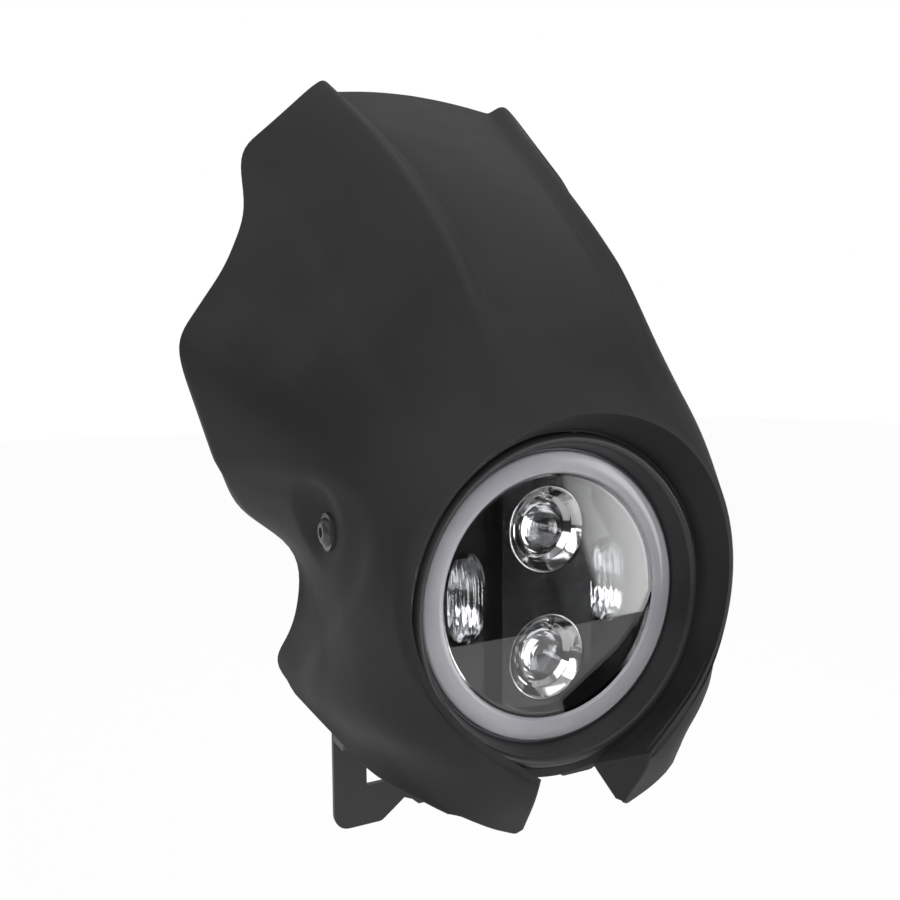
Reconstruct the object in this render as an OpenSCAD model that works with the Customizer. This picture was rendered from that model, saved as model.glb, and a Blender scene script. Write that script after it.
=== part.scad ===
// Headlight cowl with a round LED headlamp, its mounting bracket and fasteners.
// Frame: origin midway between the two fork bolt holes, on the front face of the bracket's lower plate.
// The front faces -Y and +Z is up. Sizes are in millimetres.

/* [Headlamp] */
// Outer diameter of the halo ring
halo_od = 138; // [134:0.5:141]
// Width of the halo ring's band
halo_band = 10.7; // [9:0.1:12]
// Depth of the halo ring
halo_t = 6; // [4:0.5:8]
// How far the lamp body's flange reaches past the halo
flange_lap = 4; // [3.5:0.25:5]
// Depth of the fins behind the lamp body
fin_depth = 17; // [12:1:22]
// Number of cooling fins
fin_count = 11; // [7:2:13]
// Wall of the lamp body casting
lamp_wall = 4; // [3:0.5:5]
// Height of the front lens dome
lens_rise = 5; // [3:0.5:8]
// Thickness of the front lens
lens_t = 2.5; // [2:0.25:3]

/* [Projectors] */
// Height of the projectors above and below the lamp axis, as a share of the halo's inner radius
proj_share = 0.532; // [0.51:0.002:0.55]
// Diameter of a projector lens, as a share of the halo's inner diameter
proj_lens_share = 0.2144; // [0.19:0.0004:0.23]
// Diameter of a projector cup, as a share of the halo's inner diameter
proj_cup_share = 0.36; // [0.33:0.002:0.38]
// Half width of the middle column of the bezel, as a share of the halo's inner radius
column_share = 0.429; // [0.4:0.001:0.45]
// Height of a side lens, as a share of the halo's inner diameter
side_lens_h_share = 0.343; // [0.3:0.001:0.37]
// Width of a side lens, as a share of the halo's inner diameter
side_lens_w_share = 0.1544; // [0.12:0.0004:0.17]

/* [Trim ring] */
// How far the trim ring reaches past the lamp's flange
ring_lap = 5; // [4.5:0.25:6]
// How far the trim ring stands in front of the halo
ring_front = 11; // [8:0.5:13]
// Width of the rounded bead of the trim ring
ring_bead = 5; // [4:0.5:5.5]
// Length of the ring's skirt behind the halo
ring_skirt = 22; // [20:1:25]

/* [Bucket] */
// Wall of the lamp bucket
bucket_wall = 2; // [1.5:0.25:2.5]
// Depth of the bucket's back face
bucket_back = 77; // [72:1:78]

/* [Cowl skin] */
// Wall of the cowl
wall = 3; // [2.5:0.25:4]
// How far the lip stands outside the trim ring at the sides
lip_out = 6.7; // [5:0.1:10]
// How much less the lip's half height is than its half width
lip_flat = 7.2; // [3:0.1:9]
// Height of the lip's centre above the lamp axis
lip_z = 10; // [7:1:12]
// How far the lip stands forward at the sides
lip_front = 24; // [20:1:28]
// Radius of the roll from the lip into the skin
lip_roll = 6; // [4:0.5:8]
// Height of the top edge at the centre
top_z = 275; // [260:0.5:290]
// Depth of the top edge at the centre
top_y = 162.4; // [152:0.2:172]
// Half width between the two rib crests at the top
rib_half_w = 58.7; // [54:0.1:64]
// Width of the step from a rib crest to the middle panel
rib_step = 8.9; // [6:0.1:11]
// Height of a rib crest above the middle panel
rib_height = 7.6; // [4:0.2:10]
// Half width at the brow, the upper outer corner
brow_half_w = 109.4; // [104:0.2:116]
// Height of the brow
brow_z = 228.1; // [218:0.1:234]
// Half width at the wing tip, the widest point
wing_half_w = 154.4; // [148:0.2:160]
// Height of the wing tip
wing_z = 121.1; // [114:0.1:128]
// Depth of the wing tip
wing_y = 110.8; // [104:0.2:118]
// Half width at the heel, the corner above the fork notch
heel_half_w = 118.4; // [114:0.1:121]
// Height of the heel
heel_z = 32.1; // [28:0.1:36]
// Depth of the tail, the pointed corner below the fork notch
tail_y = 148.7; // [142:0.1:154]
// Height of the tail
tail_z = -60.4; // [-64:0.1:-56]
// Half width of the chin notch
chin_half_w = 27.2; // [25:0.2:30]
// Height of the chin's lowest point
chin_z = -100.6; // [-106:0.2:-96]
// Depth of the recess round each side bolt
pad_recess = 3.5; // [2:0.25:4.5]

/* [Bracket] */
// Thickness of the bracket sheet
sheet = 3; // [2.5:0.5:3.5]
// How far the bracket's lower plate reaches past the trim ring at each side
plate_lap = 6; // [5:0.5:8]
// How far the bracket's arms step out above the plate
arm_step = 6; // [5:0.5:8]
// Depth of the lower plate's front face
plate_y = 80; // [78:1:84]
// Height of the lower plate's bottom edge
plate_bottom = -133; // [-138:1:-130]
// Width of the rails round each window
rail = 18; // [15:1:20]
// Spacing of the two holes that take the fork clamp bolts
yoke_pitch = 60; // [54:1:64]
// Diameter of the fork clamp bolt holes
yoke_hole_d = 8.5; // [8:0.5:9.5]

/* [Fasteners] */
// Thread diameter of the bolts that hold the cowl
bolt_d = 8; // [6:1:8]
// Thread diameter of the bolts that hold the bucket
bucket_bolt_d = 6; // [5:1:6]
// Height of the cowl bolts above the lamp axis
bolt_z = 33; // [31:1:36]
// Depth of the side bolts
bolt_y = 40; // [38:1:42]
// Clearance round a bolt in a plain hole
bolt_gap = 0.3; // [0.2:0.1:0.6]
// Clearance between a thread and its nut or insert
thread_gap = 0.1; // [0.05:0.05:0.2]
// Clearance between pieces that slip into each other
fit = 0.2; // [0.1:0.05:0.4]

/* [Hidden] */
$fn = 96;

// Radii and depths that the lamp parts share
halo_r = halo_od / 2;
halo_in = halo_r - halo_band;
flange_r = halo_r + flange_lap;
proj_z = proj_share * halo_in;
proj_lens_d = proj_lens_share * 2 * halo_in;
proj_cup_d = proj_cup_share * 2 * halo_in;
column_half_w = column_share * halo_in;
side_lens_h = side_lens_h_share * 2 * halo_in;
side_lens_w = side_lens_w_share * 2 * halo_in;
flange_front = 2;
flange_back = flange_front + 7;
ledge_y = halo_t + 1.2;
cavity_r = halo_in + 2.2;
board_t = 1.6;
floor_y = 33;
board_y = floor_y - board_t;
shell_back = floor_y + lamp_wall;
fin_back = shell_back + fin_depth;
ring_r = flange_r + ring_lap;
lip_half_w = ring_r + lip_out;
lip_half_h = lip_half_w - lip_flat;
ring_wall = 2;
carrier_t = 2.5;
bucket_front = flange_back + carrier_t;
bucket_r = ring_r - ring_wall - fit / 2;
lens_seat = 1.5;
bezel_front = lens_seat + lens_t;
column_front = bezel_front + 4;
cup_front = column_front + 1;
floor_front = column_front + 9;
side_x = (column_half_w + halo_in) / 2;
fin_pitch = 2 * (flange_r - 17) / fin_count;
pocket_r = 20;
pocket_depth = 12;
cap_y = shell_back + pocket_depth;
ring_screw_y = bucket_front + 7;
grommet_r = 10;

// Places along the width of the side bolts, from the plate outwards
plate_half_w = ring_r + plate_lap;
arm_x = plate_half_w + arm_step;
boss_t = 5;
spacer_t = 2.5;
pad_x = arm_x + spacer_t + boss_t;
bucket_boss_x = plate_half_w - sheet - spacer_t + 0.5;
flange_t = 1.6;
nut_h = 6.5;

// Heights on the bracket: the fork bolts, the windows, and where arm and plate meet
window_w = 24;
window_top = -95;
window_low = plate_bottom + 21.3;
yoke_z = (window_top + window_low) / 2;
arm_low_z = -84;
plate_top = -50;

// Pieces are drawn about the lamp axis, then moved so that the middle of the fork bolt holes is the origin
module placed() translate([0, -plate_y, -yoke_z]) children();

// Turned pieces are drawn as radius against depth and stood about the lamp axis
module turned() rotate([-90, 0, 0]) rotate_extrude() children();

// A disc, pin or cone along the depth axis
module along_y(y, r, length, r2 = undef)
    translate([0, y, 0]) rotate([-90, 0, 0]) cylinder(h = length, r1 = r, r2 = is_undef(r2) ? r : r2);

// A pin that points outwards on the right side
module along_x(x, r, length, fn = 48)
    translate([x, 0, 0]) rotate([0, 90, 0]) cylinder(h = length, r = r, $fn = fn);

// The same piece on both sides of the middle plane
module both_sides() {
    children();
    mirror([1, 0, 0]) children();
}

// Points of an arc in a drawing, from angle a to angle b
function arc(cx, cy, r, a, b, n = 6) =
    [for (i = [0:n]) let (t = a + (b - a) * i / n) [cx + r * cos(t), cy + r * sin(t)]];

// Columns of the skin at a rib's foot and crest, the brow, wing tip, heel and chin, and the notch wall's end
foot_col = 8;
crest_col = 10;
brow_col = 17;
wing_col = 27;
heel_col = 34;
chin_col = 52;
notch_cols = 3;
last_col = chin_col + notch_cols;

// Each station is a column that runs from the lip out to the edge:
// column number, lip angle, edge point, direction at the lip, direction at the edge.
stations = [
    [0, 0, [0, top_y, top_z], [0, 0.34, 0.94], [0, 0.83, 0.56]],
    [foot_col, 26, [rib_half_w - rib_step, top_y - 4.9, top_z - 5.7],
        [-0.08, 0.34, 0.94], [0.16, 0.81, 0.56]],
    [crest_col, 31.5, [rib_half_w, top_y - 5.8, top_z - 6.7], [-0.10, 0.34, 0.94], [0.21, 0.81, 0.55]],
    [brow_col, 50, [brow_half_w, top_y - 8.8, brow_z], [0.34, 0.65, 0.68], [0.50, 0.58, 0.64]],
    [19, 55, [brow_half_w + 0.7, top_y - 32.9, brow_z - 34.5], [0.50, 0.61, 0.62], [0.49, 0.68, 0.55]],
    [22, 61, [brow_half_w + 15.3, wing_y + 7.5, wing_z + 40.9], [0.46, 0.75, 0.47], [0.60, 0.68, 0.43]],
    [wing_col, 69, [wing_half_w, wing_y, wing_z], [0.47, 0.80, 0.37], [0.63, 0.73, 0.28]],
    [heel_col, 86, [heel_half_w, tail_y - 14.5, heel_z], [0.17, 0.98, 0.12], [0.30, 0.95, 0.05]],
    [36, 93, [pad_x - 3.3, tail_y - 42.7, heel_z - 18.6], [0.25, 0.97, 0.05], [0.20, 0.98, 0]],
    [38, 100, [pad_x + 1, tail_y - 53, heel_z - 44], [0.28, 0.96, 0], [0.15, 0.99, -0.02]],
    [40, 108, [pad_x + 1, tail_y - 34.5, tail_z + 25.7], [0.33, 0.94, -0.06], [0.12, 0.99, -0.05]],
    [42, 117, [pad_x + 3.4, tail_y, tail_z], [0.43, 0.89, -0.12], [0.10, 0.99, -0.12]],
    [45, 128, [pad_x - 6.8, tail_y - 78.3, tail_z - 12.4], [0.85, 0.43, -0.30], [0.10, 0.93, -0.35]],
    [48, 140, [pad_x - 14.4, tail_y - 127.8, chin_z + 19.6], [0.89, -0.11, -0.45], [0.10, 0.75, -0.65]],
    [50, 149, [pad_x - 29, tail_y - 165.8, chin_z + 19.7], [0.73, -0.05, -0.69], [0.15, 0.50, -0.85]],
    [51, 154.5, [chin_half_w + 21.4, tail_y - 166.1, chin_z + 7], [0.40, 0.13, -0.85], [0.08, 0.48, -0.87]],
    [chin_col, 160, [chin_half_w, tail_y - 165.9, chin_z], [0.04, 0.30, -0.95], [0, 0.46, -0.89]]
];
skin_rows = 18;
roll_rows = 3;
tube_rows = 3; // seat, mouth of the tube and halfway to the lip
last_row = tube_rows + roll_rows + skin_rows;
seat_r = ring_r + 0.6;
seat_wall = 3.4;
seat_front = -6;
seat_back = 4;
rib_start = 0.06; // where a rib begins and where it is at its full height, from 0 at the lip to 1 at the edge
rib_full = 0.36;
recess_soft = 9;
pad_flat_r = 12;

// A station value at column c: linear between stations, then a weighted mean that rounds the corners.
// The weights fall in a straight line from the middle of the window to nothing at its ends.
function table(k, i) = [for (s = stations) [s[0], is_undef(i) ? s[k] : s[k][i]]];
smooth_n = 9;
smooth_reach = 1.73;
weights = [for (k = [1 - smooth_n:smooth_n - 1]) (smooth_n - abs(k)) / smooth_n ^ 2];
function smooth(c, w, t) =
    let (v = min(smooth_reach * w, c, chin_col - c))
    weights * [for (k = [1 - smooth_n:smooth_n - 1]) lookup(c + v * k / smooth_n, t)];
tables = [for (k = [2:4]) [for (i = [0:2]) table(k, i)]];
function vec(c, w, k) = [for (i = [0:2]) smooth(c, w, tables[k - 2][i])];
function unit(v) = v / norm(v);
function ease(t) = let (u = min(max(t, 0), 1)) u * u * (3 - 2 * u);

// The lip is an ellipse that dips at the chin and stands further forward at top and bottom
function lip(phi) =
    let (low = min(max((phi - 140) / 20, 0), 1))
    [lip_half_w * sin(phi), -lip_front - (phi < 90 ? 9 : 11) * cos(phi) ^ 2,
     lip_z + lip_half_h * cos(phi) - 6 * low ^ 2];

// A cubic curve between two points with a direction at each end
function hermite(s, p, tp, q, tq) =
    (2 * s ^ 3 - 3 * s ^ 2 + 1) * p + (s ^ 3 - 2 * s ^ 2 + s) * tp
    + (3 * s ^ 2 - 2 * s ^ 3) * q + (s ^ 3 - s ^ 2) * tq;

// The window that rounds the corners of the edge grows inwards: only the edge has corners, the skin is smooth
edge_round = 1;
inner_round = 5;

// The row before the last lies on the fold where the wing's margin turns back. Against the column:
// its distance from the edge, and the depth by which the edge is turned back
fold_width = [[0, 9], [wing_col - 2, 9], [wing_col, 4.5], [heel_col - 1, 11], [heel_col + 2, 9]];
fold_depth = [[wing_col - 1, 0], [wing_col + 0.5, 2],
    [heel_col - 2, 5], [heel_col, 2.5], [heel_col + 1.5, 0]];

// One column of the visible face: tube round the lamp, lip, roll, then the skin out to the edge
function column(c) =
    let (
        phi = smooth(c, 2, table(1)),
        t1 = unit(vec(c, 3, 3)),
        t2 = unit(vec(c, 3, 4)),
        l = lip(phi),
        out = unit([lip_half_h * sin(phi), 0, lip_half_w * cos(phi)]),
        turn = acos(out * t1),
        side = unit(t1 - (out * t1) * out),
        start = l + lip_roll * (sin(turn) * out + (1 - cos(turn)) * side),
        fold = 1 - lookup(c, fold_width) / norm(vec(c, edge_round, 2) - start),
        seat = (seat_r + 1) * [sin(phi), 0, cos(phi)],
        mouth = seat - [0, ring_front + 1.5, 0]
    )
    concat(
        [seat + [0, seat_back - 2, 0], mouth, (mouth + l) / 2],
        [for (i = [0:roll_rows]) let (a = turn * i / roll_rows)
            l + lip_roll * (sin(a) * out + (1 - cos(a)) * side)],
        [for (i = [1:skin_rows]) let (s = i == skin_rows ? 1 : fold * i / (skin_rows - 1),
            edge = vec(c, edge_round + inner_round * (1 - s), 2), span = norm(edge - start))
            hermite(s, start, span * t1, edge, span * t2)]
    );

// Lift of the skin at a rib: up the step from foot to crest, then down evenly to the brow's column
function rib(c, r) =
    let (s = (r - tube_rows - roll_rows) / skin_rows,
         up = (c - foot_col) / (crest_col - foot_col), down = (brow_col - c) / (brow_col - crest_col))
    rib_height * min(max(min(up, down), 0), 1) * ease((s - rib_start) / (rib_full - rib_start));

// Recess round the side bolt: inside three sides, drawn in depth and height, with soft corners
function recess(p) =
    let (top = 57 - p[2], below = (p[2] - 15 + 0.683 * p[1]) / 1.21, front = p[1] + 5)
    ease((-recess_soft * ln(exp(-top / recess_soft) + exp(-below / recess_soft)
        + exp(-front / recess_soft))) / 7 + 0.5);

// Flat pad under the bolt, faded into the skin round it
function flat_pad(p) =
    let (far = norm([p[1] - bolt_y, p[2] - bolt_z]))
    p[0] > 80 ? 1 - ease((far - pad_flat_r) / 14) : 0;

// Past the chin column the skin turns back as a wall that narrows the notch towards the trim ring
notch_top = [seat_r * 0.22, seat_front + 1, -seat_r * 1.055];
notch_foot = [chin_half_w - 1, tail_y - 160.7, chin_z + 1];
notch_seat = [seat_r * 0.22, seat_back - 2, -seat_r * 1.005];
function notch_back(r) =
    r < tube_rows ? notch_seat + (notch_top - notch_seat) * r / tube_rows
    : notch_top + (notch_foot - notch_top) * (r - tube_rows) / (last_row - tube_rows);
function notch_wall(c) =
    let (front = column(chin_col), f = (c - chin_col) / notch_cols)
    [for (r = [0:last_row]) front[r] + f * (notch_back(r) - front[r])];

raw = [for (c = [0:last_col]) c <= chin_col ? column(c) : notch_wall(c)];
function at(g, c, r) = c < 0 ? [-g[-c][r][0], g[-c][r][1], g[-c][r][2]] : g[min(c, last_col)][r];
function normal(g, c, r) = unit(cross(
    at(g, c + 1, r) - at(g, c - 1, r),
    at(g, c, min(r + 1, last_row)) - at(g, c, max(r - 1, 0))));
ribbed = [for (c = [0:last_col]) [for (r = [0:last_row])
    raw[c][r] + (rib(c, r) > 0 ? rib(c, r) * normal(raw, c, r) : [0, 0, 0])]];
shaped = [for (c = [0:last_col]) [for (r = [0:last_row])
    let (p = ribbed[c][r],
         sunk = r > tube_rows ? pad_recess * recess(p) + (r == last_row ? lookup(c, fold_depth) : 0) : 0,
         q = sunk > 0 ? p - sunk * normal(ribbed, c, r) : p,
         k = r > tube_rows ? flat_pad(q) : 0)
    [q[0] + k * (pad_x + 0.15 - q[0]), q[1], q[2]]]];
inner = [for (c = [0:last_col]) [for (r = [0:last_row])
    let (n = normal(shaped, c, r), reach = r == tube_rows || c == chin_col ? 1.3 * wall : wall)
    shaped[c][r] - reach * (c == 0 ? [0, n[1], n[2]] : n)]];

module skin() {
    loop = 2 * (last_row + 1);
    count = 2 * last_col + 1;
    points = [for (c = [-last_col:last_col]) for (k = [0:loop - 1])
        k <= last_row ? at(shaped, c, k) : at(inner, c, loop - 1 - k)];
    sides = [for (i = [0:count - 2]) for (k = [0:loop - 1])
        let (a = i * loop + k, b = i * loop + (k + 1) % loop)
        each [[a, b, b + loop], [a, b + loop, a + loop]]];
    ends = [for (i = [0, count - 1]) for (k = [0:last_row - 1])
        let (a = i * loop + k, b = a + 1, d = i * loop + loop - 1 - k, e = d - 1)
        each (i == 0 ? [[a, e, b], [a, d, e]] : [[a, b, e], [a, e, d]])];
    polyhedron(points = points, faces = concat(sides, ends), convexity = 12);
}

module cowl() color([0.09, 0.09, 0.1]) placed() difference() {
    union() {
        skin();
        turned() translate([seat_r, seat_front]) square([seat_wall, seat_back - seat_front]);
        both_sides() translate([0, bolt_y, bolt_z]) along_x(pad_x - boss_t, 11, boss_t);
    }
    both_sides() translate([0, bolt_y, bolt_z]) {
        along_x(pad_x - boss_t - 1, bolt_d / 2 + bolt_gap, boss_t + 4);
        along_x(pad_x, bolt_d + 2, 4);
    }
}

// Button-head bolt with a flange, along the width, seated at x
module side_bolt(x, d, length, flange) {
    r = d / 2;
    translate([x, 0, 0]) rotate([0, 90, 0]) difference() {
        union() {
            translate([0, 0, -length]) cylinder(h = length + 1, r = r, $fn = 48);
            if (flange) cylinder(h = flange_t, r = r * 2.2, $fn = 64);
            rotate_extrude($fn = 64) polygon(concat([[0, 0]],
                [for (i = [0:6]) let (a = i * 12) [r * 0.7 + r * cos(a), 1 + r * 0.85 * sin(a)]],
                [[0, 1 + r * 0.81]]));
        }
        translate([0, 0, r * 0.3]) cylinder(h = r * 2, r = r * 0.68, $fn = 6);
    }
}

module cowl_bolts() color([0.05, 0.05, 0.06]) placed() both_sides()
    translate([0, bolt_y, bolt_z]) side_bolt(pad_x, bolt_d, boss_t + spacer_t + sheet + nut_h + 1.5, true);

module cowl_spacers() color([0.13, 0.13, 0.13]) placed() both_sides()
    translate([0, bolt_y, bolt_z]) difference() {
    along_x(arm_x, 10, spacer_t);
    along_x(arm_x - 1, bolt_d / 2 + bolt_gap, spacer_t + 2);
}

module cowl_nuts() color([0.35, 0.35, 0.36]) placed() both_sides()
    translate([0, bolt_y, bolt_z]) difference() {
    along_x(arm_x - sheet - nut_h, bolt_d * 0.94, nut_h, 6);
    along_x(arm_x - sheet - nut_h - 1, bolt_d / 2 + thread_gap, nut_h + 2);
}

// Bracket arm seen from the front: a joggle carries it from the cowl pad in to the lower plate
module arm_path() {
    step_z = bolt_z - 14;
    low_z = step_z - 11;
    points = [[arm_x, bolt_z + 15], [arm_x, step_z], [plate_half_w, low_z], [plate_half_w, arm_low_z]];
    polygon(concat(points, [for (i = [3:-1:0]) points[i] - [sheet, 0]]));
}

// Bracket arm seen from the side: a round tab under the bolt, then a leg down and back to the plate
module arm_side() {
    tab_r = 13;
    back = plate_y + sheet;
    translate([bolt_y, bolt_z]) circle(r = tab_r);
    polygon([[bolt_y - tab_r, bolt_z], [bolt_y - tab_r, 0], [bolt_y + 2, -34], [back - 17, arm_low_z],
        [back, arm_low_z], [back, plate_top], [bolt_y + tab_r + 9, -6], [bolt_y + tab_r, bolt_z - 16],
        [bolt_y + tab_r, bolt_z]]);
}

// Right half of the lower plate seen from the front
module plate_half() {
    ear = plate_half_w - rail;
    top = plate_top;
    rail_top = arm_low_z - 4;
    foot_r = 8;
    saddle_z = plate_bottom + 4.5;
    polygon(concat(
        [[-1, rail_top], [ear - 4, rail_top], [ear, rail_top + 6], [ear, top], [plate_half_w, top]],
        arc(plate_half_w - foot_r, plate_bottom + foot_r, foot_r, 0, -90),
        arc(plate_half_w - 25, plate_bottom + 4, 4, -90, -135, 3),
        [[plate_half_w - 37, plate_bottom + 8], [plate_half_w - 39.5, plate_bottom + 10],
            [plate_half_w - 44, plate_bottom + 8], [plate_half_w - 48, saddle_z], [-1, saddle_z]]));
}

module bracket() color([0.16, 0.16, 0.16]) placed() difference() {
    union() {
        both_sides() intersection() {
            rotate([90, 0, 0]) translate([0, 0, -plate_y - sheet]) linear_extrude(plate_y + sheet) arm_path();
            translate([plate_half_w - 20, 0, 0]) rotate([90, 0, 90]) linear_extrude(60) arm_side();
        }
        translate([0, plate_y + sheet, 0]) rotate([90, 0, 0]) linear_extrude(sheet) both_sides() plate_half();
    }
    both_sides() {
        translate([plate_half_w - rail - window_w, plate_y - 1, window_low])
            cube([window_w, sheet + 2, window_top - window_low]);
        translate([yoke_pitch / 2, 0, yoke_z]) along_y(plate_y - 1, yoke_hole_d / 2, sheet + 2);
        translate([0, bolt_y, bolt_z]) along_x(arm_x - sheet - 1, bolt_d / 2 + bolt_gap, sheet + 2);
        translate([0, bolt_y, 0]) along_x(plate_half_w - sheet - 1, bucket_bolt_d / 2 + bolt_gap, sheet + 2);
    }
}

module bucket_bolts() color([0.35, 0.35, 0.36]) placed() both_sides()
    translate([0, bolt_y, 0]) side_bolt(plate_half_w, bucket_bolt_d, sheet + spacer_t + 8, false);

module bucket_spacers() color([0.13, 0.13, 0.13]) placed() both_sides()
    translate([0, bolt_y, 0]) difference() {
    along_x(bucket_boss_x, 8, plate_half_w - sheet - bucket_boss_x);
    along_x(bucket_boss_x - 1, bucket_bolt_d / 2 + bolt_gap, spacer_t + 2);
}

// Rounded ring that clamps the lamp to its bucket
module trim_ring() color([0.07, 0.07, 0.08]) placed() difference() {
    bead_r = ring_bead / 2;
    bead_x = ring_r - bead_r - fit / 2;
    bead_y = bead_r - ring_front;
    lip_r = halo_r + 1.2;
    turned() {
        polygon([[lip_r, flange_front], [lip_r, flange_front - 1.5], [bead_x - bead_r, bead_y],
            [ring_r - fit / 2, bead_y], [ring_r, bead_y + 1], [ring_r, ring_skirt],
            [ring_r - ring_wall, ring_skirt], [ring_r - ring_wall, flange_front]]);
        translate([bead_x, bead_y]) circle(r = bead_r, $fn = 48);
    }
    translate([0, ring_screw_y, -ring_r - 1]) cylinder(h = ring_wall + 2, r = 2 + bolt_gap, $fn = 32);
}

module ring_screw() color([0.4, 0.4, 0.4]) placed() translate([0, ring_screw_y, -ring_r]) {
    cylinder(h = 8, r = 2, $fn = 32);
    translate([0, 0, -2.4]) difference() {
        cylinder(h = 2.4, r1 = 2.6, r2 = 3.8, $fn = 32);
        for (a = [0, 90]) rotate([0, 0, a]) translate([-2, -0.4, -1]) cube([4, 0.8, 2.4]);
    }
}

// Rear shell of the lamp
module lamp_bucket() color([0.1, 0.1, 0.11]) placed() difference() {
    inside = bucket_r - bucket_wall;
    turn_r = [bucket_r - 3.9, bucket_r - 12.9, bucket_r - 27.9]; // where its bowl bends
    union() {
        turned() polygon([[bucket_r, bucket_front], [bucket_r, 36], [turn_r[0], 52], [turn_r[1], 66],
            [turn_r[2], bucket_back], [grommet_r, bucket_back], [grommet_r, bucket_back - bucket_wall],
            [turn_r[2] - bucket_wall / 2, bucket_back - bucket_wall],
            [turn_r[1] - bucket_wall, 66 - bucket_wall / 2],
            [turn_r[0] - bucket_wall, 52 - bucket_wall / 3], [inside, 36], [inside, bucket_front + 2],
            [flange_r - 2.4, bucket_front + 2], [flange_r - 2.4, bucket_front]]);
        both_sides() translate([0, bolt_y, 0]) along_x(flange_r - 3, 8, bucket_boss_x - flange_r + 3);
        translate([0, ring_screw_y, -bucket_r + 0.5]) cylinder(h = 5, r = 4, $fn = 32);
    }
    both_sides() translate([0, bolt_y, 0]) along_x(flange_r - 4, bucket_bolt_d / 2 + thread_gap, 12);
    translate([0, ring_screw_y, -bucket_r - 1]) cylinder(h = 8, r = 2 + thread_gap, $fn = 32);
    for (a = [45:90:315]) rotate([0, a, 0]) translate([0, 0, flange_r - 1])
        along_y(bucket_front - 1, 1.25 + thread_gap, 4);
}

module bucket_grommet() color([0.06, 0.06, 0.06]) placed() turned() polygon([
    [6, bucket_back - bucket_wall - 2], [grommet_r + 3, bucket_back - bucket_wall - 2],
    [grommet_r + 3, bucket_back - bucket_wall], [grommet_r, bucket_back - bucket_wall],
    [grommet_r, bucket_back], [grommet_r + 3, bucket_back], [grommet_r + 2, bucket_back + 2.5],
    [7, bucket_back + 4], [6, bucket_back + 4]]);

module carrier_ring() color([0.55, 0.55, 0.56]) placed() difference() {
    turned() translate([flange_r - 2.8, flange_back]) square([bucket_r - flange_r + 2.8, carrier_t]);
    for (a = [45:90:315]) rotate([0, a, 0]) translate([0, 0, flange_r - 1])
        along_y(flange_back - 1, 1.25 + thread_gap, carrier_t + 2);
}

module carrier_screws() color([0.6, 0.6, 0.6]) placed() for (a = [45:90:315])
    rotate([0, a, 0]) translate([0, 0, flange_r - 1]) {
        along_y(flange_back + 0.2, 1.25, carrier_t + 2 - 0.2);
        along_y(bucket_front + 2, 1.8, 1.6);
    }

// Die-cast lamp body: flange, cavity, floor and cooling fins round the driver pocket
module lamp_housing() color([0.32, 0.33, 0.34]) placed() difference() {
    union() {
        turned() polygon([[halo_r + fit, flange_front], [flange_r, flange_front], [flange_r, flange_back],
            [flange_r - 4, flange_back], [flange_r - 6.5, shell_back], [0, shell_back], [0, floor_y],
            [cavity_r, floor_y], [cavity_r, ledge_y], [halo_r + fit, ledge_y]]);
        intersection() {
            turned() polygon([[0, shell_back - 1], [flange_r - 8, shell_back - 1],
                [flange_r - 16, fin_back], [0, fin_back]]);
            for (i = [0:fin_count - 1]) translate([(i - (fin_count - 1) / 2) * fin_pitch - 1.1, 0, -flange_r])
                cube([2.2, fin_back + 1, 2 * flange_r]);
        }
        along_y(shell_back - 1, pocket_r + 3, pocket_depth + 1);
    }
    along_y(shell_back, pocket_r, fin_depth + 1);
    along_y(cap_y, pocket_r + 3 + fit, fin_depth);
    for (a = [45:90:315]) rotate([0, a, 0]) translate([0, 0, pocket_r + 1.5])
        along_y(shell_back + pocket_depth - 4, 1, 5);
}

module rear_cap() color([0.2, 0.2, 0.21]) placed() difference() {
    along_y(cap_y, pocket_r + 3, 2);
    translate([0, 0, -8]) along_y(cap_y - 1, 4, 4);
    translate([0, 0, 11]) along_y(cap_y - 1, 2.5, 4);
    for (a = [45:90:315]) rotate([0, a, 0]) translate([0, 0, pocket_r + 1.5]) along_y(cap_y - 1, 1, 4);
}

module cap_screws() color([0.6, 0.6, 0.6]) placed() for (a = [45:90:315])
    rotate([0, a, 0]) translate([0, 0, pocket_r + 1.5]) {
        along_y(cap_y - 3, 1 - thread_gap, 5);
        along_y(cap_y + 2, 1.5, 1.2);
    }

module cable_gland() color([0.08, 0.08, 0.08]) placed() translate([0, 0, -8]) difference() {
    union() {
        along_y(cap_y - 2, 4 - fit, 4);
        rotate([-90, 0, 0]) translate([0, 0, cap_y + 2]) cylinder(h = 5, r = 7, $fn = 6);
        along_y(cap_y + 7, 5.6, 5, 4.2);
    }
    along_y(cap_y - 3, 2.4, 20);
}

module breather_vent() color([0.15, 0.15, 0.15]) placed() translate([0, 0, 11]) {
    along_y(cap_y - 1, 2.5 - fit, 3);
    along_y(cap_y + 2, 4, 2, 3.4);
}

module driver_board() color([0.1, 0.3, 0.15]) placed() translate([-14, shell_back, -13]) {
    translate([0, 3, 0]) cube([28, board_t, 26]);
    for (x = [3, 21], z = [3, 19]) translate([x, 0, z]) cube([4, 3, 4]);
    translate([8, 3 + board_t, 8]) cube([10, 4, 10]);
}

module led_board() color([0.75, 0.75, 0.74]) placed() along_y(board_y, cavity_r - fit, board_t);

module led_chips() color([0.9, 0.85, 0.5]) placed()
    for (p = [[0, proj_z], [0, -proj_z], [side_x, 0], [-side_x, 0]])
        translate([p[0] - 2.5, board_y - 1, p[1] - 2.5]) cube([5, 1, 5]);

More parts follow.
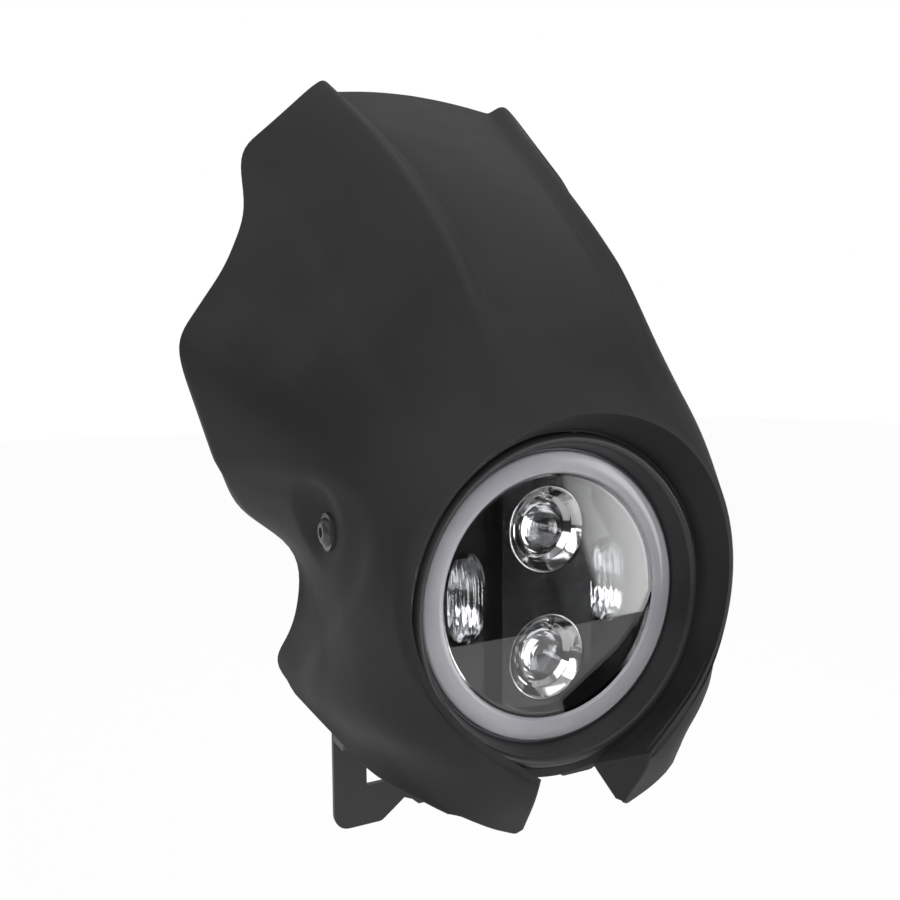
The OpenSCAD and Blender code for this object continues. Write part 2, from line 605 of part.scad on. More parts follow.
// Moulded bezel behind the lens: rim, floor and a raised middle column with openings for the optics
module inner_bezel() color([0.03, 0.03, 0.035]) placed() difference() {
    rim = halo_in - fit;
    union() {
        turned() polygon([[rim - 2, bezel_front], [rim, bezel_front], [rim, board_y], [rim - 2, board_y]]);
        along_y(floor_front, rim - 1, 2);
        intersection() {
            along_y(column_front, rim - 1, floor_front - column_front + 1);
            translate([-column_half_w, column_front, -rim]) cube([2 * column_half_w, 20, 2 * rim]);
        }
    }
    for (s = [-1, 1]) translate([0, 0, s * proj_z]) along_y(column_front - 1, proj_cup_d / 2 + fit, 20);
    both_sides() intersection() {
        along_y(floor_front - 1, rim - 5, 4);
        translate([column_half_w + 2.5, floor_front - 1, -side_lens_h / 2 - 2.5])
            cube([rim, 4, side_lens_h + 5]);
    }
}

// Chromed bowl with a seat for the projector lens, standing on the LED board
module projector_cup() {
    r = proj_cup_d / 2;
    lens_r = proj_lens_d / 2;
    turned() polygon([[r, cup_front], [r, cup_front + 2], [lens_r + 2, cup_front + 10], [9, board_y],
        [5, board_y], [5, board_y - 2], [lens_r - 1, cup_front + 10], [lens_r - 1, cup_front + 8],
        [lens_r + fit / 2, cup_front + 8], [lens_r + fit / 2, cup_front + 6], [r - 1, cup_front]]);
}

module projector_lens() {
    lens_r = proj_lens_d / 2;
    turned() polygon(concat([[0, cup_front + 8], [lens_r, cup_front + 8]],
        [for (i = [0:10]) let (a = i * 9) [lens_r * cos(a), cup_front + 6 - 7 * sin(a)]]));
}

module upper_projector_cup() color([0.85, 0.85, 0.87]) placed() translate([0, 0, proj_z]) projector_cup();
module lower_projector_cup() color([0.85, 0.85, 0.87]) placed() translate([0, 0, -proj_z]) projector_cup();
module upper_projector_lens() color([0.8, 0.85, 0.9, 0.6]) placed()
    translate([0, 0, proj_z]) projector_lens();
module lower_projector_lens() color([0.8, 0.85, 0.9, 0.6]) placed()
    translate([0, 0, -proj_z]) projector_lens();

// Upright bar with round ends, the shape of a side lens and of the trough behind it
module side_bar() {
    straight = side_lens_h - side_lens_w;
    translate([0, 0, -straight / 2]) cylinder(d = side_lens_w, h = straight, $fn = 48);
    for (s = [-1, 1]) translate([0, 0, s * straight / 2]) sphere(d = side_lens_w, $fn = 48);
}

// Chromed trough behind a side lens
module side_reflector() difference() {
    w = side_lens_w + 4;
    h = side_lens_h + 4;
    intersection() {
        translate([side_x - w / 2, floor_front + 2, -h / 2]) cube([w, board_y - floor_front - 2, h]);
        along_y(floor_front, halo_in - 2 - 2 * fit, board_y - floor_front);
    }
    translate([side_x, floor_front + 1, 0]) side_bar();
    translate([side_x, 0, 0]) along_y(board_y - 10, 4, 12);
}

// Tall lens with a rounded front, cut flat a little in front of its middle
module side_lens() intersection() {
    translate([side_x, floor_front + 2.4, 0]) side_bar();
    translate([0, floor_front + 2 - side_lens_w, -side_lens_h])
        cube([2 * side_x, side_lens_w, 2 * side_lens_h]);
}

module right_side_reflector() color([0.85, 0.85, 0.87]) placed() side_reflector();
module left_side_reflector() color([0.85, 0.85, 0.87]) placed() mirror([1, 0, 0]) side_reflector();
module right_side_lens() color([0.8, 0.85, 0.9, 0.6]) placed() side_lens();
module left_side_lens() color([0.8, 0.85, 0.9, 0.6]) placed() mirror([1, 0, 0]) side_lens();

module halo_board() color([0.85, 0.85, 0.82]) placed() turned()
    translate([cavity_r + 0.5, ledge_y - 1]) square([5.5, 1]);

module lens_seal() color([0.08, 0.08, 0.08]) placed() turned()
    translate([cavity_r + 6.5, halo_t]) square([halo_r - cavity_r - 6.5, ledge_y - halo_t]);

module halo_ring() color([0.72, 0.72, 0.76]) placed() turned() polygon(concat(
    [[halo_in, halo_t], [halo_r, halo_t]],
    arc(halo_r - 2, 2, 2, 0, -90),
    [[halo_in + 1, 0], [halo_in, 1]]));

// Clear domed lens seated in the bore of the halo ring
module front_lens() color([0.85, 0.9, 0.95, 0.35]) placed() turned() {
    edge = halo_in - fit;
    dome = (edge * edge + lens_rise * lens_rise) / (2 * lens_rise);
    half = asin(edge / dome);
    back = asin((edge - 1) / dome);
    centre = lens_seat + dome - lens_rise;
    polygon(concat(
        [for (i = [0:12]) let (a = half * i / 12) [dome * sin(a), centre - dome * cos(a)]],
        [[edge, lens_seat + lens_t]],
        [for (i = [12:-1:0]) let (a = back * i / 12) [dome * sin(a), centre + lens_t - dome * cos(a)]]));
}

cowl();
bracket();
cowl_bolts();
cowl_spacers();
cowl_nuts();
trim_ring();
ring_screw();
lamp_bucket();
bucket_spacers();
bucket_bolts();
bucket_grommet();
carrier_ring();
carrier_screws();
lamp_housing();
rear_cap();
cap_screws();
cable_gland();
breather_vent();
driver_board();
led_board();
led_chips();
inner_bezel();
upper_projector_cup();
lower_projector_cup();
upper_projector_lens();
lower_projector_lens();
left_side_reflector();
right_side_reflector();
left_side_lens();
right_side_lens();
halo_board();
lens_seal();
halo_ring();
front_lens();
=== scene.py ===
import math

import bmesh
import bpy
import numpy as np
from mathutils import Matrix, Vector


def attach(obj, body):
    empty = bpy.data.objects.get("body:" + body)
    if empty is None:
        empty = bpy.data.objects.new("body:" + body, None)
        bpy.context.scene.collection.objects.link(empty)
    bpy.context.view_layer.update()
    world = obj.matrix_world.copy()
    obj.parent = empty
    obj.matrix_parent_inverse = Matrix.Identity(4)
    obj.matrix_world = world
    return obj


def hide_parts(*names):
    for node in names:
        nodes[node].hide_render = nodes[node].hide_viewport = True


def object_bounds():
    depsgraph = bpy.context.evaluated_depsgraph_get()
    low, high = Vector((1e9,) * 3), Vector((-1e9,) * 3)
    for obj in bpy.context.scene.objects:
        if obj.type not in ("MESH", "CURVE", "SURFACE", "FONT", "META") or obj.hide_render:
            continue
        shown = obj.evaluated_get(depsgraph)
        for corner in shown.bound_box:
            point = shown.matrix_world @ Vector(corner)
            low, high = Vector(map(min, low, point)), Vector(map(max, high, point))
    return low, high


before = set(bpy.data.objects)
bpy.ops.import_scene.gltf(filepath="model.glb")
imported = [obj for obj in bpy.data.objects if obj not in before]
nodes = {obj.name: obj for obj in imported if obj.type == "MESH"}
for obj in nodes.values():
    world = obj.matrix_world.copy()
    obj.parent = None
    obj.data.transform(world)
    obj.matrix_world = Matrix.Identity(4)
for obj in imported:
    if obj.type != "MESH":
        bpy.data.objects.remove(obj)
cadLow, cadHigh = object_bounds()
print("frame loaded:", len(nodes), "nodes")

# All pieces are worked out in millimetres about the lamp axis, from the halo's front face, then moved to the
# row frame
lampAxis = np.array([0.0, -80.0, 103.35])


def toRow(points):
    return (np.asarray(points, float) + lampAxis) / 1000.0


camera = dict(
    lens=35.2,  # 880 px for a 900 px frame
    yaw=26.302,  # degrees, turned right of +Y
    pitch=-4.754,
    roll=-0.390,
    place=(-224.69, -343.14, 103.60),  # mm, from the lamp's centre
)


def makeCamera(c):
    yaw, pitch, roll = (math.radians(c[k]) for k in ("yaw", "pitch", "roll"))
    look = np.array([math.sin(yaw) * math.cos(pitch), math.cos(yaw) * math.cos(pitch), math.sin(pitch)])
    right = np.array([math.cos(yaw), -math.sin(yaw), 0.0])
    up = np.cross(right, look)
    rolledRight = right * math.cos(roll) + up * math.sin(roll)
    rolledUp = -right * math.sin(roll) + up * math.cos(roll)
    data = bpy.data.cameras.new("photoCamera")
    data.sensor_width = 36.0
    data.lens = c["lens"]
    data.clip_start, data.clip_end = 0.01, 50.0
    cam = bpy.data.objects.new("photoCamera", data)
    bpy.context.scene.collection.objects.link(cam)
    turn = Matrix([list(v) for v in zip(rolledRight, rolledUp, -look)])
    cam.matrix_world = Matrix.Translation(Vector(toRow(c["place"]))) @ turn.to_4x4()
    bpy.context.scene.camera = cam


makeCamera(camera)
print("camera set")


# An object from points in mm about the lamp axis and rows of faces. Edges over the sharp angle stay crisp.
def makeMesh(name, points, faces, sharp=40.0, merge=None, material=None):
    mesh = bpy.data.meshes.new(name)
    mesh.from_pydata(toRow(points).tolist(), [], [list(f) for f in faces])
    mesh.validate()
    if merge:
        bm = bmesh.new()
        bm.from_mesh(mesh)
        bmesh.ops.remove_doubles(bm, verts=bm.verts, dist=merge / 1000.0)
        bmesh.ops.dissolve_degenerate(bm, edges=bm.edges, dist=1e-7)
        bmesh.ops.recalc_face_normals(bm, faces=bm.faces)
        bm.to_mesh(mesh)
        bm.free()
    mesh.shade_smooth()
    mesh.set_sharp_from_angle(angle=math.radians(sharp))
    obj = bpy.data.objects.new(name, mesh)
    bpy.context.scene.collection.objects.link(obj)
    if material:
        mesh.materials.append(material)
    return obj


# Quads of a grid stored row by row
def gridFaces(rows, cols, closeRows=False, closeCols=False, start=0):
    r = np.arange(rows if closeRows else rows - 1)
    c = np.arange(cols if closeCols else cols - 1)
    r, c = np.meshgrid(r, c, indexing="ij")
    a = r * cols + c
    b = r * cols + (c + 1) % cols
    d = ((r + 1) % rows) * cols + c
    e = ((r + 1) % rows) * cols + (c + 1) % cols
    return start + np.stack([a, b, e, d], -1).reshape(-1, 4)


# A profile of (radius, depth) pairs turned about the y or the x axis, through the centre
def revolve(name, profile, centre=(0, 0, 0), axis="y", segments=128, material=None, closed=True, sharp=35.0):
    prof = np.asarray(profile, float)
    t = np.linspace(0, 2 * math.pi, segments, endpoint=False)
    r, d = prof[:, 0][:, None], prof[:, 1][:, None]
    x, z, y = r * np.sin(t), r * np.cos(t), d + 0 * t
    if axis == "y":
        pts = np.stack([x, y, z], -1)
    else:
        pts = np.stack([y, x, z], -1)
    pts = pts.reshape(-1, 3) + np.asarray(centre, float)
    faces = gridFaces(len(prof), segments, closeRows=closed, closeCols=True)
    return makeMesh(name, pts, faces, sharp=sharp, merge=0.001, material=material)


# Short names for building a node tree
class Tree:
    def __init__(self, tree):
        self.tree = tree

    def node(self, kind, values=None, **settings):
        n = self.tree.nodes.new(kind)
        for k, v in settings.items():
            setattr(n, k, v)
        for k, v in (values or {}).items():
            if hasattr(v, "is_output"):
                self.tree.links.new(v, n.inputs[k])
            else:
                n.inputs[k].default_value = v
        return n

    def link(self, a, b):
        self.tree.links.new(a, b)

    def math(self, op, a, b=0.0, c=0.0):
        return self.node("ShaderNodeMath", {0: a, 1: b, 2: c}, operation=op).outputs[0]

    def span(self, value, low, high, outLow=0.0, outHigh=1.0, smooth=True):
        ends = {"Value": value, "From Min": low, "From Max": high, "To Min": outLow, "To Max": outHigh}
        n = self.node("ShaderNodeMapRange", ends, interpolation_type="SMOOTHSTEP" if smooth else "LINEAR")
        return n.outputs["Result"]

    def mix(self, fac, a, b):
        n = self.node("ShaderNodeMix", {"Factor": fac}, data_type="RGBA")
        for i, v in ((6, a), (7, b)):
            if hasattr(v, "is_output"):
                self.link(v, n.inputs[i])
            else:
                n.inputs[i].default_value = (*v, 1.0)
        return n.outputs[2]


def newGroup(name, inputs, outputs):
    tree = bpy.data.node_groups.new(name, "ShaderNodeTree")
    for label, kind, value in inputs:
        s = tree.interface.new_socket(label, in_out="INPUT", socket_type=kind)
        if value is not None:
            s.default_value = value
    for label, kind in outputs:
        tree.interface.new_socket(label, in_out="OUTPUT", socket_type=kind)
    t = Tree(tree)
    return t, t.node("NodeGroupInput"), t.node("NodeGroupOutput")


# Fine moulded or sprayed grain: two sizes of noise as a height, and a cloud as a soft mask
def grainGroup():
    inputs = [("Vector", "NodeSocketVector", None), ("Size", "NodeSocketFloat", 1500.0),
              ("Cloud Size", "NodeSocketFloat", 30.0)]
    t, gin, gout = newGroup("fineGrain", inputs, [("Height", "NodeSocketFloat"), ("Cloud", "NodeSocketFloat")])
    fine = t.node("ShaderNodeTexNoise", {"Vector": gin.outputs["Vector"], "Scale": gin.outputs["Size"],
                                         "Detail": 2.0, "Roughness": 0.55})
    small = t.math("MULTIPLY", gin.outputs["Size"], 3.1)
    finer = t.node("ShaderNodeTexNoise", {"Vector": gin.outputs["Vector"], "Scale": small, "Detail": 1.0})
    cloud = t.node("ShaderNodeTexNoise", {"Vector": gin.outputs["Vector"], "Scale": gin.outputs["Cloud Size"],
                                          "Detail": 4.0, "Roughness": 0.5})
    high = t.math("MULTIPLY_ADD", finer.outputs["Fac"], 0.4, fine.outputs["Fac"])
    t.link(high, gout.inputs["Height"])
    t.link(t.span(cloud.outputs["Fac"], 0.35, 0.65), gout.inputs["Cloud"])
    return t.tree


# Sparse pale specks: the nearest-point distance of a cell pattern, kept only in some cells
def dustGroup():
    inputs = [("Vector", "NodeSocketVector", None), ("Size", "NodeSocketFloat", 160.0),
              ("Speck", "NodeSocketFloat", 0.06), ("Share", "NodeSocketFloat", 0.2)]
    t, gin, gout = newGroup("dustSpecks", inputs, [("Mask", "NodeSocketFloat")])
    cells = t.node("ShaderNodeTexVoronoi", {"Vector": gin.outputs["Vector"], "Scale": gin.outputs["Size"]})
    shade = t.node("ShaderNodeSeparateColor", {"Color": cells.outputs["Color"]})
    speck = t.math("LESS_THAN", cells.outputs["Distance"], gin.outputs["Speck"])
    kept = t.math("LESS_THAN", shade.outputs["Red"], gin.outputs["Share"])
    t.link(t.math("MULTIPLY", speck, kept), gout.inputs["Mask"])
    return t.tree


fineGrain = grainGroup()
dustSpecks = dustGroup()


def newMaterial(name):
    mat = bpy.data.materials.new(name)
    mat.use_nodes = True
    t = Tree(mat.node_tree)
    mat.node_tree.nodes.clear()
    out = t.node("ShaderNodeOutputMaterial")
    shader = t.node("ShaderNodeBsdfPrincipled")
    t.link(shader.outputs[0], out.inputs["Surface"])
    place = t.node("ShaderNodeTexCoord").outputs["Object"]
    return mat, t, shader, place


# Bump from the fine grain and a roughness that drifts with its cloud
def addGrain(t, shader, place, size, depth, strength, cloud, roughLow, roughHigh):
    g = t.node("ShaderNodeGroup", node_tree=fineGrain)
    t.link(place, g.inputs["Vector"])
    g.inputs["Size"].default_value = size
    g.inputs["Cloud Size"].default_value = cloud
    bump = t.node("ShaderNodeBump", {"Height": g.outputs["Height"], "Strength": strength, "Distance": depth})
    t.link(bump.outputs["Normal"], shader.inputs["Normal"])
    t.link(t.span(g.outputs["Cloud"], 0, 1, roughLow, roughHigh, smooth=False), shader.inputs["Roughness"])
    return g


# Base colour with pale specks of dust over it
def addDust(t, place, base, dust, size, speck, share, amount):
    d = t.node("ShaderNodeGroup", node_tree=dustSpecks)
    t.link(place, d.inputs["Vector"])
    d.inputs["Size"].default_value = size
    d.inputs["Speck"].default_value = speck
    d.inputs["Share"].default_value = share
    return t.mix(t.math("MULTIPLY", d.outputs["Mask"], amount), base, dust)


# A finish with grain, drifting roughness and colour, and a little dust
def plainFinish(name, base, roughness, size=1200.0, depth=0.00004, strength=0.2, cloud=40.0, spread=0.06,
                metallic=0.0, dust=0.25, specular=0.5, tone=0.12):
    mat, t, shader, place = newMaterial(name)
    shader.inputs["Metallic"].default_value = metallic
    shader.inputs["Specular IOR Level"].default_value = specular
    g = addGrain(t, shader, place, size, depth, strength, cloud, roughness - spread, roughness + spread)
    darker = tuple(v * (1 - tone) for v in base)
    lighter = tuple(v * (1 + tone) for v in base)
    body = t.mix(g.outputs["Cloud"], darker, lighter)
    body = addDust(t, place, body, tuple(min(1.0, v * 2.5 + 0.05) for v in base), 220.0, 0.05, 0.1, dust)
    t.link(body, shader.inputs["Base Color"])
    return mat


# Base colour, roughness, and what differs from the plain finish
finish = dict(
    mattSkin=((0.0200, 0.0196, 0.0204), 0.6, dict(size=1500.0, depth=0.00006, strength=0.16, cloud=22.0,
                                                  spread=0.04, dust=0.10, specular=0.2)),
    satinRing=((0.020, 0.020, 0.021), 0.42, dict(size=1800.0, depth=0.00003, strength=0.12, cloud=35.0,
                                                 spread=0.05, dust=0.15)),
    powderCoat=((0.016, 0.016, 0.0165), 0.5, dict(size=900.0, depth=0.00010, strength=0.3, cloud=50.0, dust=0.3)),
    bucketPaint=((0.018, 0.018, 0.020), 0.38, dict(size=700.0, depth=0.00005, strength=0.15)),
    blackBolt=((0.06, 0.06, 0.062), 0.3, dict(size=2500.0, depth=0.00002, metallic=0.6, dust=0.1)),
    zincBolt=((0.45, 0.45, 0.44), 0.36, dict(size=2200.0, depth=0.00002, metallic=1.0, dust=0.1)),
    blackRubber=((0.018, 0.018, 0.018), 0.75, dict(size=1400.0, depth=0.00006, strength=0.3)),
    dieCast=((0.10, 0.10, 0.105), 0.5, dict(size=1300.0, depth=0.00008, strength=0.35, metallic=0.7)),
    sheetAluminium=((0.5, 0.5, 0.51), 0.35, dict(size=1600.0, metallic=1.0)),
    bezelBlack=((0.006, 0.006, 0.0065), 0.16, dict(size=900.0, depth=0.00002, strength=0.06, spread=0.03,
                                                   dust=0.04)),
    smokedChrome=((0.40, 0.39, 0.39), 0.09, dict(size=300.0, depth=0.00002, strength=0.05, spread=0.02,
                                                 metallic=1.0, dust=0.0, tone=0.03)),
    boardWhite=((0.72, 0.72, 0.70), 0.5, {}),
    boardDark=((0.03, 0.03, 0.032), 0.45, {}),
    boardGreen=((0.02, 0.10, 0.04), 0.4, {}),
    ledYellow=((0.75, 0.6, 0.15), 0.3, {}),
)
materials = {name: plainFinish(name, base, roughness, **rest) for name, (base, roughness, rest) in finish.items()}


# Clear moulding, with a faint smear in its roughness
def clearFinish(name, tint, ior, haze):
    mat, t, shader, place = newMaterial(name)
    shader.inputs["Base Color"].default_value = (*tint, 1.0)
    shader.inputs["Transmission Weight"].default_value = 1.0
    shader.inputs["IOR"].default_value = ior
    g = t.node("ShaderNodeGroup", node_tree=fineGrain)
    t.link(place, g.inputs["Vector"])
    g.inputs["Size"].default_value = 120.0
    g.inputs["Cloud Size"].default_value = 45.0
    t.link(t.span(g.outputs["Cloud"], 0, 1, 0, haze, smooth=False), shader.inputs["Roughness"])
    return mat


materials["frontClear"] = clearFinish("frontClear", (0.97, 0.98, 0.99), 1.45, 0.01)
materials["lensClear"] = clearFinish("lensClear", (0.95, 0.97, 0.98), 1.5, 0.005)


# Frosted light guide under a clear face: a milky body with a smooth coat and a faint drift of tone
def haloFinish():
    mat, t, shader, place = newMaterial("haloFrost")
    g = addGrain(t, shader, place, 900.0, 0.00002, 0.06, 18.0, 0.36, 0.46)
    body = t.mix(g.outputs["Cloud"], (0.285, 0.278, 0.304), (0.34, 0.335, 0.359))
    t.link(body, shader.inputs["Base Color"])
    for socket, value in (("Coat Weight", 0.6), ("Coat Roughness", 0.04), ("Subsurface Weight", 0.25),
                          ("Subsurface Radius", (1.0, 1.0, 1.0)), ("Subsurface Scale", 0.002)):
        shader.inputs[socket].default_value = value
    return mat


materials["haloFrost"] = haloFinish()
print("finishes made")

finishOf = dict(
    mattSkin=("cowl",),
    powderCoat=("bracket",),
    blackBolt=("cowl_bolts",),
    blackRubber=("cowl_spacers", "bucket_spacers", "bucket_grommet", "cable_gland", "breather_vent", "lens_seal"),
    zincBolt=("cowl_nuts", "ring_screw", "bucket_bolts", "carrier_screws", "cap_screws"),
    satinRing=("trim_ring",),
    bucketPaint=("lamp_bucket",),
    sheetAluminium=("carrier_ring",),
    dieCast=("lamp_housing", "rear_cap"),
    boardGreen=("driver_board",),
    boardDark=("led_board",),
    ledYellow=("led_chips",),
    boardWhite=("halo_board",),
    bezelBlack=("inner_bezel",),
    smokedChrome=("upper_projector_cup", "lower_projector_cup", "left_side_reflector", "right_side_reflector"),
    lensClear=("upper_projector_lens", "lower_projector_lens", "left_side_lens", "right_side_lens"),
    haloFrost=("halo_ring",),
    frontClear=("front_lens",),
)
for label, names in finishOf.items():
    for name in names:
        nodes[name].data.materials.clear()
        nodes[name].data.materials.append(materials[label])

cowl = dict(
    wall=3.0,
    rimRadius=1.45,  # round of the trimmed edge
    lip=(84.7, 77.5, 10.0, 24.0),  # half width, half height, height of its centre, how far forward
    lipForward=(9.0, 11.0),  # how much further forward at the top and at the chin
    lipDip=6.0,  # at the chin
    roll=6.0,  # radius of the lip
    seat=79.6,
    seatDepth=2.0,
    mouth=12.5,  # depth of the tube's mouth
    flange=(78.15, 82.9, -8.2, 4.0, 0.4),  # inner and outer radius, front, back, round of its front edges
    boss=(4.3, 11.0, 92.5, 96.6, 0.5),  # inner and outer radius, both ends from the middle, round
    recess=2.0,  # depth round the bolt
    recessSoft=11.0,  # round of its corners
    recessStep=13.0,  # width of the step at its border
    recessTop=57.0,  # upper side
    recessFront=-5.0,  # front side
    recessLow=(15.0, -0.683),  # height and slope of the lower side
    bolt=(40.0, 33.0),  # depth and height
    pad=97.65,  # half width of the skin at the bolt
    padReach=(12.0, 26.0),  # where it is flat, and where it has run out
    chin=52.0,  # column where the skin turns back into the notch
    notch=3.0,  # columns of the notch wall
    notchTop=(0.22, -5.0, -1.055),  # x and z against the seat's radius, and depth
    notchSeat=(0.22, 2.0, -1.005),
    notchFoot=(26.2, -12.0, -99.6),
    foldRadius=0.16,  # of the fold into the notch wall, in columns
    chinRound=4.5,  # radius of the chin's cut corner
    chinPitch=22.0,  # mm between the last two columns along the edge
    foldSoft=1.6,  # round of the fold at the wing's margin
    # width of the margin that turns back and its depth at the edge, against the column
    foldWidth=((0, 9), (25, 9), (27, 4.5), (33, 11), (36, 9)),
    foldDepth=((26, 0), (27.5, 2), (32, 5), (34, 2.5), (35.5, 0)),
    # columns of its foot, crest and end, height, shares where it starts and is full, round in columns
    rib=dict(foot=8.4, crest=9.6, out=17, depth=7.6, start=0.06, full=0.36, round=0.3),
    lift=0.4,  # share from which the skin rises to the fold
    smoothing=5.0,  # how much wider the rounding window gets from the edge to the lip, in columns
    # column, lip angle, edge point x y z, direction at the lip, direction at the edge
    stations=np.array([
        [0, 0, 0, 162.4, 275.0, 0, 0.34, 0.94, 0, 0.83, 0.56],
        [2, 6.5, 12.45, 162.1, 274.65, -0.02, 0.34, 0.94, 0.04, 0.83, 0.56],
        [4, 13, 24.9, 161.2, 273.6, -0.04, 0.34, 0.94, 0.08, 0.82, 0.56],
        [6, 19.5, 37.35, 159.6, 271.8, -0.06, 0.34, 0.94, 0.12, 0.82, 0.56],
        [8, 26, 49.8, 157.5, 269.3, -0.08, 0.34, 0.94, 0.16, 0.81, 0.56],
        [10, 31.5, 58.7, 156.6, 268.3, -0.10, 0.34, 0.94, 0.21, 0.81, 0.55],
        [17, 50, 109.4, 153.6, 228.1, 0.34, 0.65, 0.68, 0.50, 0.58, 0.64],
        [19, 55, 110.1, 129.5, 193.6, 0.50, 0.61, 0.62, 0.49, 0.68, 0.55],
        [22, 61, 124.7, 118.3, 162.0, 0.46, 0.75, 0.47, 0.60, 0.68, 0.43],
        [27, 69, 153.5, 110.2, 121.1, 0.47, 0.80, 0.37, 0.63, 0.73, 0.28],
        [34, 86, 121.4, 133.0, 30.6, 0.17, 0.98, 0.12, 0.30, 0.95, 0.05],
        [36, 93, 94.2, 106.0, 13.5, 0.25, 0.97, 0.05, 0.20, 0.98, 0],
        [38, 100, 98.5, 95.7, -11.9, 0.28, 0.96, 0, 0.15, 0.99, -0.02],
        [40, 108, 98.5, 114.2, -34.7, 0.33, 0.94, -0.06, 0.12, 0.99, -0.05],
        [42, 117, 100.9, 148.7, -60.4, 0.43, 0.89, -0.12, 0.10, 0.99, -0.12],
        [45, 128, 90.7, 70.4, -72.8, 0.85, 0.43, -0.30, 0.10, 0.93, -0.35],
        [48, 140, 83.1, 20.9, -81.0, 0.89, -0.11, -0.45, 0.10, 0.75, -0.65],
        [50, 149, 68.5, -17.1, -80.9, 0.73, -0.05, -0.69, 0.15, 0.50, -0.85],
        [51, 154.5, 48.6, -17.4, -93.6, 0.40, 0.13, -0.85, 0.08, 0.48, -0.87],
        [52, 160, 28.0, -14.4, -103.8, 0.04, 0.30, -0.95, 0, 0.46, -0.89],
    ]),
)


def unit(v):
    return v / np.linalg.norm(v, axis=-1, keepdims=True)


def ease(t):
    u = np.clip(t, 0, 1)
    return u * u * (3 - 2 * u)


# A station value at columns c: linear between stations, then a weighted mean that rounds the corners.
# The weights fall in a straight line from the middle of the window to nothing at its ends.
def stationValue(c, window, index):
    s = cowl["stations"]
    w = np.minimum(np.minimum(1.73 * window, c), cowl["chin"] - c)
    steps = np.arange(-8, 9) / 9.0
    weights = (1 - np.abs(steps)) / (1 - np.abs(steps)).sum()
    return sum(k * np.interp(c + w * t, s[:, 0], s[:, index]) for t, k in zip(steps, weights))


def stationVector(c, window, index):
    return np.stack([stationValue(c, window, index + k) for k in range(3)], -1)


# The lip is an ellipse that dips at the chin and stands further forward at top and bottom
def lipLine(phi):
    halfW, halfH, centre, front = cowl["lip"]
    low = np.clip((np.degrees(phi) - 140) / 20, 0, 1)
    y = -front - np.where(phi < math.pi / 2, *cowl["lipForward"]) * np.cos(phi) ** 2
    return np.stack([halfW * np.sin(phi), y, centre + halfH * np.cos(phi) - cowl["lipDip"] * low ** 2], -1)


# Rows of one face of the cowl at columns c: straight tube, then a roll of constant radius, then a cubic out to
# the edge. Skin rows run from 0 at the roll to 1 at the fold and 2 at the edge. The window that rounds the
# corners grows inwards, so that only the edge has corners. Gives the points, each row's share of the way out,
# and how far past the fold it lies in mm.
def cowlColumns(c, tube, roll, skin):
    phi = np.radians(stationValue(c, 2, 1))
    t1, t2 = unit(stationVector(c, 3, 5)), unit(stationVector(c, 3, 8))
    lip = lipLine(phi)
    halfW, halfH = cowl["lip"][:2]
    out = unit(np.stack([halfH * np.sin(phi), 0 * phi, halfW * np.cos(phi)], -1))
    dot = (out * t1).sum(-1, keepdims=True)
    turn, side = np.arccos(np.clip(dot, -1, 1)), unit(t1 - dot * out)
    seat = cowl["seat"] * np.stack([np.sin(phi), 0 * phi, np.cos(phi)], -1)
    mouth = seat - [0, cowl["mouth"], 0]
    seat = seat + [0, cowl["seatDepth"], 0]
    rows = []
    for f in tube:  # 0 to 1 seat to mouth, 1 to 2 mouth to lip
        rows.append(seat + (mouth - seat) * f if f <= 1 else mouth + (lip - mouth) * (f - 1))
    for f in roll:
        a = turn * f
        rows.append(lip + cowl["roll"] * (np.sin(a) * out + (1 - np.cos(a)) * side))
    start = rows[-1]
    far = np.linalg.norm(stationVector(c, 1, 2) - start, axis=-1, keepdims=True)
    fold = 1 - np.interp(c, *zip(*cowl["foldWidth"]))[:, None] / far
    corner = np.clip(cowl["chinRound"] - (cowl["chin"] - c) * cowl["chinPitch"], 0, None)[:, None]
    trim = 1 - (cowl["chinRound"] - np.sqrt(cowl["chinRound"] ** 2 - corner ** 2)) / far
    shares, past = [0 * c] * len(rows), [0 * c - 100] * len(rows)
    for u in skin:
        s = fold * min(u, 1) + (1 - fold) * max(u - 1, 0)
        s = s * trim
        edge = start * 0
        for k in range(3):
            edge[:, k] = stationValue(c, 1 + cowl["smoothing"] * (1 - s[:, 0]), 2 + k)
        reach = np.linalg.norm(edge - start, axis=-1, keepdims=True)
        rows.append((2 * s ** 3 - 3 * s ** 2 + 1) * start + (s ** 3 - 2 * s ** 2 + s) * reach * t1
                    + (3 * s ** 2 - 2 * s ** 3) * edge + (s ** 3 - s ** 2) * reach * t2)
        shares.append(s[:, 0])
        past.append(((s - fold) * far)[:, 0])
    return np.stack(rows), np.stack(shares), np.stack(past)


def normals(g):
    return unit(np.cross(np.gradient(g, axis=1), np.gradient(g, axis=0)))


# How far the skin is lifted: up the step from foot to crest, then down evenly to the brow's column.
# The lift fades out along the rib before it reaches the lip.
def ribRise(c, share):
    rib = cowl["rib"]

    def across(x):
        return np.minimum(np.clip((x - rib["foot"]) / (rib["crest"] - rib["foot"]), 0, 1),
                          np.clip((rib["out"] - x) / (rib["out"] - rib["crest"]), 0, 1))
    profile = sum(across(np.abs(c) + rib["round"] * k / 2) for k in (-2, -1, 0, 1, 2)) / 5
    return rib["depth"] * ease((share - rib["start"]) / (rib["full"] - rib["start"])) * profile


# Recess round the side bolt: inside three sides, drawn in depth and height, with soft corners
def recessShare(face):
    y, z = face[..., 1], face[..., 2]
    soft = cowl["recessSoft"]
    low, slope = cowl["recessLow"]
    sides = (cowl["recessTop"] - z, (z - low - slope * y) / math.hypot(1, slope), y - cowl["recessFront"])
    depth = -soft * np.log(sum(np.exp(-np.clip(s, -300, 300) / soft) for s in sides))
    return ease(depth / cowl["recessStep"] + 0.5)


